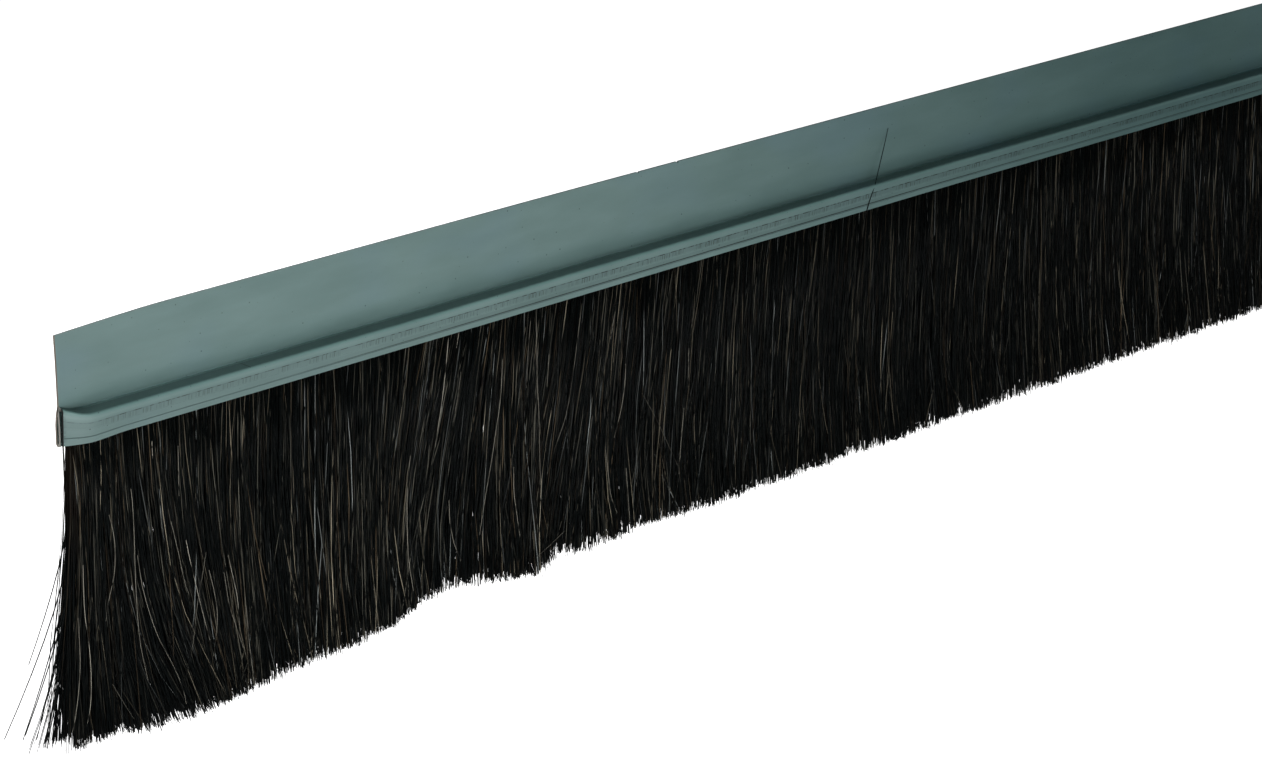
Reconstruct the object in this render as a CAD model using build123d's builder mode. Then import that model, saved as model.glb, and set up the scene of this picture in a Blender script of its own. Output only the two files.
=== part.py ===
from build123d import *
import os
import random

# Driving sizes of the folded sheet, in millimetres
strip_length = 1000.0
sheet = 0.5  # thickness of the steel
fin_height = 16.75  # flat fin, from the crease up to its free edge
channel_height = 6.0  # from the crease down to the mouth
cavity_width = 3.15  # inside the channel, under its bridge
mouth_narrowing = 0.8  # how far the crimp leans the front wall in at its foot
hem_gap = 0.25  # between the back wall and the inner leg that is hemmed up against it
lip_radius = 0.9  # outside bend at the top of the front wall
crease_radius = 0.6  # outside bend where the bridge turns down into the inner leg
bend_inside = 0.1  # smallest inside bend

# Marks that the crimping rollers leave on the front wall
roller_band_top = 1.6  # below the crease
roller_band_height = 1.9
roller_band_depth = 0.08
score_line_drop = 4.5  # below the crease
score_line_width = 0.25
score_line_depth = 0.12

# The near end, which the shear squashed when the strip was cut
pinch_length = 6.0
pinched_cavity = 0.45
pinch_rise = 1.0  # how far the bridge is pushed up at the cut
mouth_drop = 0.3  # how far the mouth is dragged down at the cut
mouth_drop_length = 15.0
fin_droop = 0.55  # how far the fin's free edge is dragged down at the cut
droop_length = 24.0
fin_lean = 1.0  # how far it is bent forward there
lean_length = 130.0

# The wire that the bristles are folded over
wire_diameter = 1.2
wire_setback = 9.0  # the wire starts behind the squashed end
bristle_clearance = 0.1  # around the wire, and between the bristles and the steel

# The bristles
bristle_length = 57.5  # free length under the mouth
lock_pitch = 4.0
locks_per_bundle = 25
lock_relief = 0.35  # how far a lock's ridge stands out beside its valleys
lock_taper = 0.86  # width of a lock at its tip, as a part of the pitch
middle_share = 0.45  # where the flare is half done, down the free length
middle_spread = 1.1  # how far each face stands out there
tip_spread = 2.3  # how far each face stands out at the tips
spread_scatter = 0.3
trim_scatter = 0.8  # unevenness of the trimmed tips

# Lines of (distance from the near end, value), straight from point to point
trim_line = [(0, 4.4), (20, 5.0), (35, 4.8), (60, 3.5), (85, 1.4), (100, -2.7)]  # added to the free length
trim_line += [(115, -0.8), (126, 1.4), (136, -0.4), (300, 0.3)]
lean_line = [(0, -0.01), (25, 0.04), (60, -0.02), (100, -0.08)]  # along the strip, for each mm of length
lean_line += [(150, -0.10), (200, -0.06), (300, 0.0)]

# Places that follow from the sizes: X runs along the strip, and Y = 0 is the back face
near_end = -strip_length / 2
fin_top = fin_height / 2
crease_z = fin_top - fin_height
mouth_z = crease_z - channel_height
inner_leg_y = -(sheet + hem_gap)
cavity_back_y = inner_leg_y - sheet
hem_radius = -cavity_back_y / 2 - bend_inside / 4


def along(line, distance):
    """Value of a line of (distance from the near end, value) points."""
    for (start, low), (end, high) in zip(line, line[1:]):
        if distance <= end:
            return low + (high - low) * (distance - start) / (end - start)
    return line[-1][1]


def pinch(distance):
    """How squashed the section is: 1 at the cut and 0 past the squashed end."""
    return max(0.0, 1.0 - distance / pinch_length) ** 1.5


def cavity_at(distance):
    return cavity_width + (pinched_cavity - cavity_width) * pinch(distance)


def narrowing_at(distance):
    return mouth_narrowing * (1.0 - pinch(distance))


def mouth_at(distance):
    return mouth_z - mouth_drop * max(0.0, 1.0 - distance / mouth_drop_length)


def sheet_outline(distance):
    """Outline of the folded sheet, with the bend radius of each of its corners."""
    top = fin_top - fin_droop * max(0.0, 1.0 - distance / droop_length)
    fin_y = -fin_lean * max(0.0, 1.0 - distance / lean_length)
    bridge = crease_z + pinch_rise * pinch(distance)
    mouth = mouth_at(distance)
    wall_y = cavity_back_y - cavity_at(distance)
    front_y = wall_y - sheet
    lean = narrowing_at(distance) / (bridge - mouth)
    lip_bend = min(lip_radius, (inner_leg_y - front_y) / 2 - bend_inside)
    fold_bend = min(crease_radius, lip_bend)
    wall_bend = min(lip_radius - sheet, cavity_at(distance) / 2 - bend_inside)
    band_top = crease_z - roller_band_top
    band_bottom = band_top - roller_band_height
    score = crease_z - score_line_drop

    def on_wall(z, depth=0.0):
        return (front_y + lean * (bridge - z) + depth, z)

    corners = [
        ((fin_y, top), 0),
        ((0, crease_z), 0),
        ((0, mouth), hem_radius),
        ((cavity_back_y, mouth), hem_radius),
        ((cavity_back_y, bridge - sheet), bend_inside),
        ((wall_y, bridge - sheet), wall_bend),
        (on_wall(mouth, sheet), 0),
        (on_wall(mouth), 0),
        (on_wall(score - score_line_width / 2), 0),
        (on_wall(score, score_line_depth), 0),
        (on_wall(score + score_line_width / 2), 0),
        (on_wall(band_bottom), 0),
        (on_wall(band_bottom, roller_band_depth), 0),
        (on_wall(band_top, roller_band_depth), 0),
        (on_wall(band_top), 0),
        ((front_y, bridge), lip_bend),
        ((inner_leg_y, bridge), fold_bend),
        ((inner_leg_y, mouth + sheet), bend_inside),
        ((-sheet, mouth + sheet), bend_inside),
        ((-sheet, crease_z), 0),
        ((fin_y - sheet, top), 0),
    ]
    return [point for point, bend in corners], [bend for point, bend in corners]


def root_outline(distance):
    """Outline of the bristles inside the channel: a fold over the wire and two legs."""
    top = crease_z + pinch_rise * pinch(distance) - sheet - bristle_clearance
    mouth = mouth_at(distance)
    back = cavity_back_y - bristle_clearance
    front = cavity_back_y - cavity_at(distance) + bristle_clearance
    foot = front + narrowing_at(distance)
    slope = (foot - front) / (top - mouth)
    fold = (back - front) / (2 + slope + slope**2) - bend_inside / 4
    return [(back, mouth), (back, top), (front, top), (foot, mouth)], [0, fold, fold, 0]


def section(outline, distance):
    """One flat section of the strip, at a distance from its near end."""
    points, bends = outline(distance)
    with BuildSketch(Plane.YZ.offset(near_end + distance)) as face:
        with BuildLine():
            FilletPolyline(points, radius=bends, close=True)
        make_face()
    return face.sketch


# Folded steel carrier: fin, hem, inner leg, bridge and front wall are one sheet
squashed_stations = [pinch_length * share for share in (0.0, 0.1, 0.22, 0.38, 0.6, 1.0)]
with BuildPart() as carrier:
    stations = squashed_stations + [mouth_drop_length, droop_length, lean_length]
    loft([section(sheet_outline, distance) for distance in stations], ruled=True)
    extrude(section(sheet_outline, lean_length), amount=strip_length - lean_length)
carrier.part.label = "carrier"

# Core wire, inside the fold of the bristles
root_width = cavity_width - 2 * bristle_clearance
wire_y = cavity_back_y - cavity_width / 2
wire_z = crease_z - sheet - bristle_clearance - root_width / 2
with BuildPart() as core_wire:
    with BuildSketch(Plane.YZ.offset(near_end + wire_setback)):
        with Locations((wire_y, wire_z)):
            Circle(wire_diameter / 2)
    extrude(amount=strip_length - wire_setback)
core_wire.part.label = "core_wire"

# Bristles, folded over the wire, held in the channel and hanging in locks under its mouth
chance = random.Random(7)
lock_count = round(strip_length / lock_pitch)
lock_width = strip_length / lock_count


def lock_sections(number):
    """The flat six-sided sections of one lock, from the mouth down to its trimmed tip."""
    distance = (number + 0.5) * lock_width
    start = distance - lock_width / 2
    top = mouth_at(distance)
    half_root = (cavity_at(start) - narrowing_at(start)) / 2 - bristle_clearance
    middle_y = cavity_back_y - bristle_clearance - half_root
    lean = along(lean_line, distance)
    tip = max(0.0, distance + lean * bristle_length)
    length = bristle_length + along(trim_line, tip) + chance.uniform(-trim_scatter, trim_scatter)
    middle_taper = (1 + lock_taper) / 2
    flare = [(0, 0, 1), (middle_share, middle_spread, middle_taper), (1, tip_spread, lock_taper)]
    faces = []
    for share, spread, taper in flare:
        ridge = half_root + spread
        front = ridge + chance.uniform(-spread_scatter, spread_scatter) * min(1, spread)
        back = ridge + chance.uniform(-spread_scatter, spread_scatter) * min(1, spread)
        relief = min(lock_relief * taper, half_root / 2)
        centre = near_end + distance + lean * length * share
        half = lock_width / 2 * taper
        with BuildSketch(Plane.XY.offset(top + (mouth_z - length - top) * share)) as face:
            with BuildLine():
                Polyline(
                    (centre - half, middle_y - front + relief),
                    (centre, middle_y - front),
                    (centre + half, middle_y - front + relief),
                    (centre + half, middle_y + back - relief),
                    (centre, middle_y + back),
                    (centre - half, middle_y + back - relief),
                    close=True,
                )
            make_face()
        faces.append(face.sketch)
    return faces


def bundle(first):
    """A stretch of the folded roots inside the channel, with its locks."""
    numbers = range(first, min(first + locks_per_bundle, lock_count))
    locks = [loft(lock_sections(number), ruled=True) for number in numbers]
    start = first * lock_width
    end = start + len(numbers) * lock_width
    with BuildPart() as stretch:
        if first == 0:
            start = mouth_drop_length
            root_stations = squashed_stations + [start]
            loft([section(root_outline, distance) for distance in root_stations], ruled=True)
        extrude(section(root_outline, start), amount=end - start)
        add(locks)
    return stretch.part


bundles = [bundle(first) for first in range(0, lock_count, locks_per_bundle)]
with BuildPart() as bristles:
    add(bundles)
    with BuildSketch(Plane.YZ.offset(near_end + wire_setback - bristle_clearance)):
        with Locations((wire_y, wire_z)):
            Circle(wire_diameter / 2 + bristle_clearance)
    extrude(amount=strip_length, mode=Mode.SUBTRACT)
bristles.part.label = "bristles"

os.makedirs("parts", exist_ok=True)
export_step(carrier.part, "parts/carrier.step")
export_step(core_wire.part, "parts/core_wire.step")
export_step(bristles.part, "parts/bristles.step")
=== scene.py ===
# Brush seal strip: a folded steel carrier, crimped over a dense fill of dark hair
import math

import bpy
import numpy as np
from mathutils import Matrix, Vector


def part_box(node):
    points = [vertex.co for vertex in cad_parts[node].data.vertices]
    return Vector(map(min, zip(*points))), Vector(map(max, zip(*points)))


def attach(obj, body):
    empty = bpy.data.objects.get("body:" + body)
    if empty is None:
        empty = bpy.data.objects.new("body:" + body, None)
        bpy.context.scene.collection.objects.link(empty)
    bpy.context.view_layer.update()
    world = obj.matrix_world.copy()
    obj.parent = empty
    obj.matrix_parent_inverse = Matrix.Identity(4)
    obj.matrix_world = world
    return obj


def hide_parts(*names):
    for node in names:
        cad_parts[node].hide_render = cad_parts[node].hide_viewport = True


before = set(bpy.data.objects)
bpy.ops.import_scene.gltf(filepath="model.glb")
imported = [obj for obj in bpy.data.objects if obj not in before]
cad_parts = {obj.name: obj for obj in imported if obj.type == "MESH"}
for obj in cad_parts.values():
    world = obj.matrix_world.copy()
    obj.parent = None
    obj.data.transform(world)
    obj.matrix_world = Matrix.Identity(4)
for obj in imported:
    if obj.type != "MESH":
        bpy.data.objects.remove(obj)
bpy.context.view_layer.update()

mm = 0.001
print("frame loaded:", sorted(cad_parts))

carrierLow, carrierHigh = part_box("carrier")
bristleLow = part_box("bristles")[0]
nearEnd = carrierLow.x  # X runs along the strip, away from the squashed end
stripLength = carrierHigh.x - carrierLow.x
finTop = carrierHigh.z
finHeight = 16.75 * mm
channelHeight = 6.0 * mm
creaseZ = finTop - finHeight
mouthZ = creaseZ - channelHeight
channelFront = carrierLow.y  # Y = 0 is the flat back, and the front looks along -Y
tolerance = 1e-6  # places closer than this are one place


def deselectAll():
    if bpy.context.object and bpy.context.object.mode != "OBJECT":
        bpy.ops.object.mode_set(mode="OBJECT")
    bpy.ops.object.select_all(action="DESELECT")


def startPiece(name):
    piece = bpy.context.object
    piece.name = name
    piece.data.name = name
    bpy.ops.object.transform_apply(location=True, rotation=True, scale=True)
    return piece


def pickFold(piece, y, z):
    # selects the edges that run along the strip through this place of its section
    bpy.ops.object.mode_set(mode="EDIT")
    bpy.ops.mesh.select_mode(type="EDGE")
    bpy.ops.mesh.select_all(action="DESELECT")
    bpy.ops.object.mode_set(mode="OBJECT")
    places = [v.co for v in piece.data.vertices]
    onFold = [abs(p.y - y) < tolerance and abs(p.z - z) < tolerance for p in places]
    for edge in piece.data.edges:
        edge.select = all(onFold[i] for i in edge.vertices)
    bpy.ops.object.mode_set(mode="EDIT")


def cutAt(piece, places, axis):
    # flat cuts right across a piece, one for each place along the axis
    normal = [0, 0, 0]
    normal[axis] = 1
    bpy.ops.object.mode_set(mode="EDIT")
    for place in places:
        point = [0, 0, 0]
        point[axis] = place
        bpy.ops.mesh.select_all(action="SELECT")
        bpy.ops.mesh.bisect(plane_co=point, plane_no=normal)
    bpy.ops.object.mode_set(mode="OBJECT")


def getPoints(piece):
    points = np.empty(len(piece.data.vertices) * 3)
    piece.data.vertices.foreach_get("co", points)
    return points.reshape(-1, 3)


def setPoints(piece, points):
    piece.data.vertices.foreach_set("co", np.ascontiguousarray(points, np.float32).ravel())
    piece.data.update()


def addModifier(piece, kind, **settings):
    modifier = piece.modifiers.new(kind.title(), kind)
    for key, value in settings.items():
        setattr(modifier, key, value)
    bpy.context.view_layer.objects.active = piece
    bpy.ops.object.modifier_apply(modifier=modifier.name)


def smoothByAngle(piece, degrees=35):
    deselectAll()
    piece.select_set(True)
    bpy.context.view_layer.objects.active = piece
    bpy.ops.object.shade_smooth_by_angle(angle=math.radians(degrees))


# Shader maths as Python expressions


class Sock:
    def __init__(self, tree, socket):
        self.tree = tree
        self.socket = socket

    def math(self, operation, *values):
        node = self.tree.nodes.new("ShaderNodeMath")
        node.operation = operation
        for slot, value in zip(node.inputs, (self, *values)):
            plug(self.tree, slot, value)
        return Sock(self.tree, node.outputs[0])

    def __add__(self, other):
        return self.math("ADD", other)

    def __sub__(self, other):
        return self.math("SUBTRACT", other)

    def __rsub__(self, other):
        return Sock(self.tree, other).math("SUBTRACT", self)

    def __mul__(self, other):
        return self.math("MULTIPLY", other)

    def __truediv__(self, other):
        return self.math("DIVIDE", other)

    def __pow__(self, other):
        return self.math("POWER", other)

    __radd__ = __add__
    __rmul__ = __mul__

    def clamped(self):
        return self.math("MAXIMUM", 0).math("MINIMUM", 1)

    def rise(self, start, slope):
        # 0 up to start, then up by slope to 1, and with a negative slope 0 from start on
        return ((self - start) * slope).clamped()

    def between(self, low, high, soft):
        # 0 outside low..high, and inside it comes up over soft from both ends
        return self.rise(low, 1 / soft) * self.rise(high, -1 / soft)


def plug(tree, slot, value):
    if isinstance(value, Sock):
        if isinstance(value.socket, bpy.types.NodeSocket):
            tree.links.new(value.socket, slot)
        else:
            slot.default_value = value.socket
    elif isinstance(value, (tuple, list)) and len(value) == 3 and slot.type == "RGBA":
        slot.default_value = (*value, 1)
    else:
        slot.default_value = value


class Shader:
    def __init__(self, name):
        self.material = bpy.data.materials.new(name)
        self.material.use_nodes = True
        self.tree = self.material.node_tree
        self.tree.nodes.clear()

    def node(self, kind, settings=None, out=0, **values):
        node = self.tree.nodes.new("ShaderNode" + kind)
        for key, value in (settings or {}).items():
            setattr(node, key, value)
        for key, value in values.items():
            name = key.replace("_", " ")
            slot = next(s for s in node.inputs if s.name == name and s.enabled)
            plug(self.tree, slot, value)
        return Sock(self.tree, node.outputs[out])

    def place(self):
        # Object coordinates, which are metres in the strip's own frame
        coordinates = self.node("TexCoord", out=3)
        parts = self.tree.nodes.new("ShaderNodeSeparateXYZ")
        self.tree.links.new(coordinates.socket, parts.inputs[0])
        return coordinates, [Sock(self.tree, s) for s in parts.outputs]

    def attribute(self, name):
        return self.node("Attribute", {"attribute_name": name}, out=2)

    def noise(self, coordinates, stretch, detail):
        place = self.node("Mapping", None, Vector=coordinates, Scale=stretch)
        return self.node("TexNoise", None, Vector=place, Scale=1.0, Detail=detail)

    def noiseAlong(self, place, detail):
        return self.node("TexNoise", {"noise_dimensions": "1D"}, W=place, Scale=1.0, Detail=detail)

    def mix(self, factor, low, high):
        node = self.tree.nodes.new("ShaderNodeMix")
        node.data_type = "RGBA"
        plug(self.tree, node.inputs[0], factor)
        plug(self.tree, node.inputs[6], low)
        plug(self.tree, node.inputs[7], high)
        return Sock(self.tree, node.outputs[2])

    def finish(self, surface):
        output = self.tree.nodes.new("ShaderNodeOutputMaterial")
        self.tree.links.new(surface.socket, output.inputs[0])
        return self.material


def linear(*screen):
    # a colour written as it looks on a screen, each part 10 to 255
    return tuple(((c / 255 + 0.055) / 1.055) ** 2.4 for c in screen)


# Camera, at the photograph's angle, through a long lens
camera = {
    "around": math.radians(46.5),
    "above": math.radians(17.8),
    "focalPixels": 4000,
    "frame": (1262, 768),
    "sensor": 36.0,
    "cornerPixel": (70.6, 448.9),  # the near end of the mouth's front edge, as it was before the squash
    "cornerDistance": 762 * mm,
}


def makeCamera():
    c = camera
    width, height = c["frame"]
    forward = Vector((
        math.sin(c["around"]) * math.cos(c["above"]),
        math.cos(c["around"]) * math.cos(c["above"]),
        -math.sin(c["above"]),
    ))
    right = Vector((math.cos(c["around"]), -math.sin(c["around"]), 0))
    up = right.cross(forward)
    across = (c["cornerPixel"][0] - width / 2) / c["focalPixels"]
    down = (c["cornerPixel"][1] - height / 2) / c["focalPixels"]
    corner = Vector((nearEnd, channelFront, mouthZ))
    place = corner - c["cornerDistance"] * (forward + right * across - up * down)
    bpy.ops.object.camera_add(location=place)
    lens = bpy.context.object
    lens.name = "camera"
    lens.rotation_euler = forward.to_track_quat("-Z", "Y").to_euler()
    lens.data.sensor_width = c["sensor"]
    lens.data.lens = c["focalPixels"] * c["sensor"] / width
    lens.data.clip_start = 0.01
    lens.data.clip_end = 50
    bpy.context.scene.camera = lens
    print("camera at", [round(v, 3) for v in place])
    return np.array(place), np.array(forward), np.array(right), np.array(up)


cameraPlace, cameraForward, cameraRight, cameraUp = makeCamera()

# Carrier: one sheet folded into fin, hem, inner leg, bridge and front wall
carrier = {
    "sheet": 0.5 * mm,
    "hemGap": 0.25 * mm,
    "lipRadius": 0.5 * mm,  # outside
    "bridgeDrop": 0.2 * mm,  # the bridge falls from the crease to the lip
    "creaseBend": 0.14 * mm,  # to the middle of the sheet
    "hemBend": 0.36 * mm,  # to the middle of the sheet
    "bendSteps": 6,
    "mouthNarrowing": 0.8 * mm,
    "finLean": 1.0 * mm,  # forward, at the near end
    "leanReach": 130 * mm,
    "bandTop": 1.95 * mm,  # below the crease
    "bandHeight": 1.3 * mm,
    "bandDepth": 0.08 * mm,
    "scoreDrop": 4.75 * mm,
    "scoreWidth": 0.25 * mm,
    "scoreDepth": 0.12 * mm,
    "nicks": [(162 * mm, 0.3 * mm), (174.5 * mm, 0.45 * mm)],  # place along the strip, and depth
    "nickWidth": 0.8 * mm,
    "hemClosed": 0.9,  # share of the hem's gap that closes towards the crease
    "closedFrom": 0.6,  # of the way up from the mouth
    "closedOver": 0.35,
}
# the sheet is cut across in fine steps up to fineReach and then in coarse ones, in mm, and the fin along too,
# at shares of its height, so that they bend
fineStep, fineReach, coarseStart, coarseStep = 0.4, 15, 16, 6.0
finLevels = (0.1, 0.25, 0.5, 0.75)
legFront = -(2 * carrier["sheet"] + carrier["hemGap"])
# the front wall leans in from the lip, so it stands out most just under the lip
underLip = (carrier["lipRadius"] + carrier["bridgeDrop"]) / channelHeight
wallFront = channelFront - carrier["mouthNarrowing"] * underLip
wallInside = wallFront + carrier["sheet"]

# The near end, as the shear left it
shear = {
    "reach": 7.0 * mm,  # how far in the channel is squashed
    "wallPush": (1.8 * mm, 2.15 * mm),  # front wall towards the back, at the lip and at the mouth
    "backReach": 7.0 * mm,
    "gapOpened": 0.2 * mm,
    "backHeights": (0, 1, 5.5, 6.8, 17, 23),  # above the mouth, in mm
    "backPush": (0.30, 0.35, 0.40, 1.15, 0.45, -0.15),  # back sheet towards the front there, in mm
    "finReach": 18 * mm,
    "finStart": 6,  # above the mouth, in mm
    "finOver": 2,
    "creaseRise": 1.3 * mm,
    "lipRise": 1.3 * mm,
    "lipReach": 5.5 * mm,
    "edgeLift": 0.42 * mm,  # crease and lip curl up at the very end
    "edgeReach": 3.6 * mm,
    "footLift": 0.27 * mm,  # front wall only
    "hemDrop": 0.24 * mm,  # back fold only
    "footReach": 5.5 * mm,
    "mouthDrop": 0.32 * mm,
    "mouthReach": (6 * mm, 15 * mm),
    "finDroop": 0.93 * mm,
    "droopReach": 26 * mm,
}

# the lip and the foot of the front wall stand a little higher over part of the length that the photograph
# shows: (distance from the near end, rise) in mm
lipLine = [(90, 0), (145, 0.2), (185, 0.25), (250, 0.4), (330, 0.1), (420, 0)]
footLine = [(100, 0.03), (145, 0.12), (195, 0.22), (265, 0.3), (340, 0.06), (420, 0)]


def lineAt(line, distance):
    places, values = zip(*line)
    return np.interp(distance / mm, places, values)


def fadeOut(distance, reach, power=1.5):
    return np.maximum(0, 1 - distance / reach) ** power


def wallShift(distance, up):
    # how far the front wall stands behind its place at the lip, from the crimp and the shear
    squash = fadeOut(distance, shear["reach"], 1.7)
    atLip, atMouth = shear["wallPush"]
    crimp = carrier["mouthNarrowing"] * (1 - up) * (1 - squash)
    return crimp + (atLip * up + atMouth * (1 - up)) * squash


def legShift(distance, heightMm):
    # how far the back sheet and the inner leg come forward at the shear
    push = np.interp(heightMm, shear["backHeights"], shear["backPush"]) * mm
    onFin = np.clip((heightMm - shear["finStart"]) / shear["finOver"], 0, 1)
    near = fadeOut(distance, shear["backReach"])
    far = fadeOut(distance, shear["finReach"])
    return push * (near * (1 - onFin) + far * onFin)


def shapeSheet(points):
    c = shear
    moved = points.copy()
    distance = points[:, 0] - nearEnd
    up = np.clip((points[:, 2] - mouthZ) / (creaseZ - mouthZ), 0, 1)
    depth = np.clip((legFront - points[:, 1]) / (legFront - wallInside), 0, 1)
    onLeg = np.clip((-carrier["sheet"] - points[:, 1]) / carrier["hemGap"], 0, 1)
    # the hem is open at the foot and almost shut at the crease
    opening = c["gapOpened"] * onLeg * fadeOut(distance, c["backReach"])
    closed = np.clip((up - carrier["closedFrom"]) / carrier["closedOver"], 0, 1)
    opening -= carrier["hemGap"] * carrier["hemClosed"] * onLeg * closed
    moved[:, 1] -= (legShift(distance, (points[:, 2] - mouthZ) / mm) + opening) * (1 - depth)
    moved[:, 1] += wallShift(distance, up) * depth
    creaseRise = c["creaseRise"] * fadeOut(distance, c["reach"])
    lipRise = c["lipRise"] * fadeOut(distance, c["lipReach"], 1.3)
    inChannel = onLeg * (points[:, 2] < creaseZ + tolerance)
    curl = c["edgeLift"] * fadeOut(distance, c["edgeReach"], 1.0)
    uneven = lineAt(lipLine, distance) * mm * depth
    moved[:, 2] += (creaseRise * (1 - depth) + lipRise * depth + curl + uneven) * up * inChannel
    foot = c["footLift"] * depth - c["hemDrop"] * (1 - depth)
    moved[:, 2] += foot * (1 - up) * fadeOut(distance, c["footReach"], 1.0)
    moved[:, 2] += lineAt(footLine, distance) * mm * depth * (1 - up)
    low, high = c["mouthReach"]
    away = np.clip((distance - low) / (high - low), 0, 1)
    moved[:, 2] -= c["mouthDrop"] * (1 - up) * (1 - away * away * (3 - 2 * away))
    upFin = np.clip((points[:, 2] - creaseZ) / finHeight, 0, 1)
    moved[:, 2] -= upFin * c["finDroop"] * fadeOut(distance, c["droopReach"], 1.3)
    moved[:, 1] -= upFin * carrier["finLean"] * fadeOut(distance, carrier["leanReach"], 1.0)
    return moved


def makeCarrier():
    c = carrier
    half = c["sheet"] / 2
    legY = -(c["sheet"] + c["hemGap"] + half)
    wallY = wallFront + half
    deselectAll()
    middle = (nearEnd + stripLength / 2, -half, (finTop + creaseZ) / 2)
    bpy.ops.mesh.primitive_plane_add(size=1, location=middle, rotation=(math.radians(90), 0, 0))
    bpy.context.object.scale = (stripLength, finHeight, 1)
    piece = startPiece("carrier_sheet")
    # the lower edge is drawn out fold by fold, from the crease to the mouth
    folds = [
        (-half, mouthZ + half),
        (legY, mouthZ + half),
        (legY, creaseZ - half),
        (wallY, creaseZ - half - c["bridgeDrop"]),
        (wallY, mouthZ),
    ]
    y, z = -half, creaseZ
    for nextY, nextZ in folds:
        pickFold(piece, y, z)
        bpy.ops.mesh.extrude_region_move(TRANSFORM_OT_translate={"value": (0, nextY - y, nextZ - z)})
        bpy.ops.object.mode_set(mode="OBJECT")
        y, z = nextY, nextZ
    bends = [(folds[0], c["hemBend"]), (folds[1], c["hemBend"])]
    bends += [(folds[2], c["creaseBend"]), (folds[3], c["lipRadius"] - half)]
    for (foldY, foldZ), bend in bends:
        pickFold(piece, foldY, foldZ)
        bpy.ops.mesh.bevel(offset=bend, segments=c["bendSteps"], offset_type="OFFSET")
        bpy.ops.object.mode_set(mode="OBJECT")
    stations = list(np.arange(fineStep, fineReach, fineStep) * mm)
    stations += list(np.arange(coarseStart, stripLength / mm, coarseStep) * mm)
    for place, depth in c["nicks"]:
        stations += [place + c["nickWidth"] * k / 4 for k in range(-2, 3)]
    cutAt(piece, [nearEnd + s for s in sorted(stations)], 0)
    bandTop = creaseZ - c["bandTop"]
    bandLow = bandTop - c["bandHeight"]
    score = creaseZ - c["scoreDrop"]
    edge = 0.03 * mm
    levels = [bandTop, bandTop - edge, bandLow, bandLow + edge]
    levels += [score - c["scoreWidth"] / 2, score, score + c["scoreWidth"] / 2]
    levels += [creaseZ + finHeight * k for k in finLevels]
    cutAt(piece, levels, 2)
    addModifier(piece, "SOLIDIFY", thickness=c["sheet"], offset=0, use_even_offset=True)
    points = getPoints(piece)
    frontFace = points[:, 1] < wallY - half / 2
    depths = np.zeros(len(points))
    depths[(points[:, 2] < bandTop - edge / 2) & (points[:, 2] > bandLow + edge / 2)] = c["bandDepth"]
    depths[np.abs(points[:, 2] - score) < tolerance * 10] = c["scoreDepth"]
    marks = {"belowCrease": (creaseZ - points[:, 2]) / mm, "frontFace": frontFace.astype(float)}
    marks["fromEnd"] = (points[:, 0] - nearEnd) / mm
    inChannel = points[:, 2] < creaseZ + tolerance
    onLeg = inChannel & (points[:, 1] < -c["sheet"] - c["hemGap"] / 2) & (points[:, 1] > legFront - tolerance)
    marks["layer"] = np.where(onLeg, 1.0, np.where(points[:, 1] < legFront - tolerance, 2.0, 0.0))
    points[:, 1] += np.where(frontFace, depths, 0)
    for place, depth in c["nicks"]:
        across = np.maximum(0, 1 - np.abs(points[:, 0] - nearEnd - place) / (c["nickWidth"] / 2))
        points[:, 2] -= np.where(points[:, 2] > finTop - tolerance, depth * across, 0)
    setPoints(piece, shapeSheet(points))
    for label, values in marks.items():
        attribute = piece.data.attributes.new(label, "FLOAT", "POINT")
        attribute.data.foreach_set("value", np.asarray(values, np.float32))
    bpy.ops.object.mode_set(mode="EDIT")
    bpy.ops.mesh.select_all(action="SELECT")
    bpy.ops.mesh.normals_make_consistent(inside=False)
    bpy.ops.object.mode_set(mode="OBJECT")
    smoothByAngle(piece)
    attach(piece, "root")
    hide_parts("carrier")
    return piece


carrierPiece = makeCarrier()
print("carrier:", len(carrierPiece.data.polygons), "faces")

# Hair: one three-sided hair is modelled, then bent along the path of every hair
hair = {
    "radius": 0.098 * mm,
    "freeLength": 57.5 * mm,
    "tipSpread": 2.25 * mm,
    "inside": 2.5 * mm,  # how far the hairs reach up into the channel
    "bulk": 0.95 * mm,  # half the least thickness of the fill under the mouth
    "lockPitch": 2.6 * mm,  # hairs that lean together
    "lockPull": 0.45,
    "lockLean": 0.02,  # mm along the strip for each mm of length
    "lockOut": 0.4 * mm,
    "lockTrim": 0.3 * mm,
    "ownLean": 0.033,  # and each hair in it
    "ownTrim": 0.3 * mm,
    "crossing": (0.09, 0.09),  # share of the hairs that lean across the others, and how much
    "turn": 0.07,  # further bend towards the tip
    "strongTurn": (0.16, 0.4),  # share of the hairs, and how much
    "atEnd": 9 * mm,  # so near the end, no hair leans or turns out by more than the next two
    "leastLean": -0.035,
    "leastTurn": -0.06,
    "bow": 0.5 * mm,
    "wave": 0.2 * mm,
    "weave": 0.45 * mm,
    "tuftPitch": 0.55 * mm,  # hairs that end together
    "tuftTrim": 0.55 * mm,
    "shadePitch": 0.9 * mm,  # hairs of one shade, and from where on a shade is light, or dark
    "lightShade": 0.86,
    "darkShade": 0.4,
    "tipPitch": 0.95 * mm,  # tips cling together at this spacing
    "tipPull": 0.5,
    "firstRoot": 1.5 * mm,  # the shear squeezed the hairs away from the very end
    "squeezed": 6.0 * mm,
    "endHairs": 9,  # as many more hairs at the end as there are on so many mm
    "endReach": 12 * mm,
    "taper": 0.15,
}
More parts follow.
